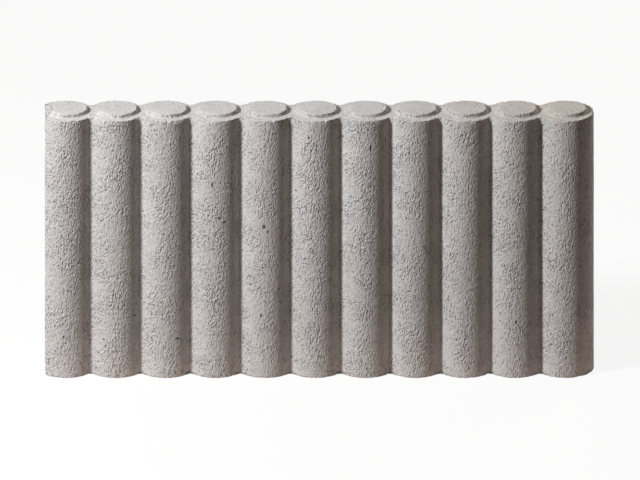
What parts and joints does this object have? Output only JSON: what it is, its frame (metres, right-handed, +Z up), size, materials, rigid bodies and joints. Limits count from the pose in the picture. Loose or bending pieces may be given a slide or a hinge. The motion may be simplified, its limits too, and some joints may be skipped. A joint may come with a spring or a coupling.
{
  "type": "palisade edging stone",
  "caption": "Upright concrete edging stone: a row of fused round columns with raised flat caps, a grooved left end and a round right end.",
  "frame": {"origin": "centre of the flat foot, under the middle of the bounding box", "axes": "+X along the row, from the grooved end to the round end; -Y is the front; +Z up"},
  "size_m": [0.5004, 0.0526, 0.255],
  "materials": {
    "concrete": "fine-grained vibro-pressed grey concrete, matt, with small pores"
  },
  "bodies": {
    "root": {"kerb_stone": "concrete"}
  },
  "joints": []
}
